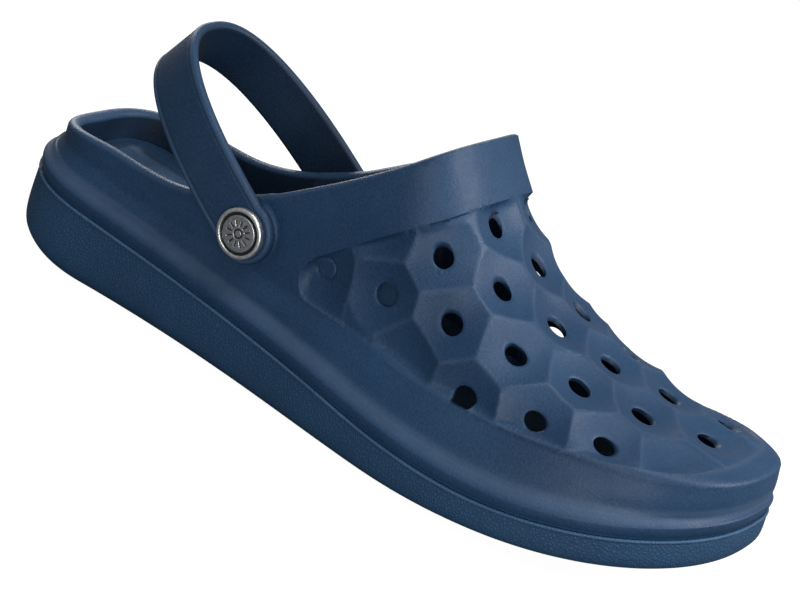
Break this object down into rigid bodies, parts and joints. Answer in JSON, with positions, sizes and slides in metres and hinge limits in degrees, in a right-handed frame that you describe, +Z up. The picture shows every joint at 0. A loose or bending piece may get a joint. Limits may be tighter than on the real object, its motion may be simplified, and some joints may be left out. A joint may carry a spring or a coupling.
{
  "type": "rubber garden clog",
  "caption": "Slip-on foam garden clog for the right foot: dimpled, vented vamp, low heel cup, thick outsole and a heel strap that turns on snap rivets.",
  "frame": {"origin": "middle of the bounding box in plan, on the ground under the sole", "axes": "+X from heel to toe, +Y towards the inner (medial) side, +Z up"},
  "size_m": [0.29, 0.1094, 0.1094],
  "materials": {
    "foam_upper": "matte",
    "foam_sole": "matte, leather grain",
    "foam_footbed": "matte",
    "foam_strap": "matte",
    "rivet_metal": "satin",
    "rivet_socket": "matte"
  },
  "bodies": {
    "clog": {"outsole": "foam_sole", "upper_shell": "foam_upper", "footbed": "foam_footbed"},
    "strap": {"heel_strap": "foam_strap"},
    "rivet_lateral": {"rivet_stud_lateral": "rivet_metal", "rivet_badge_lateral": "rivet_metal", "rivet_socket_lateral": "rivet_socket"},
    "rivet_medial": {"rivet_stud_medial": "rivet_metal", "rivet_badge_medial": "rivet_metal", "rivet_socket_medial": "rivet_socket"}
  },
  "joints": [
    {"name": "strap_pivot", "type": "hinge", "parent": "clog", "child": "strap", "pos_m": [-0.0445, 0, 0.0505], "axis": [0, 1, 0], "range_deg": [-13, 68]},
    {"name": "rivet_spin_lateral", "type": "hinge", "parent": "clog", "child": "rivet_lateral", "pos_m": [-0.0445, -0.0348, 0.0505], "axis": [0, 1, 0], "continuous": true},
    {"name": "rivet_spin_medial", "type": "hinge", "parent": "clog", "child": "rivet_medial", "pos_m": [-0.0445, 0.0336, 0.0505], "axis": [0, 1, 0], "continuous": true}
  ]
}
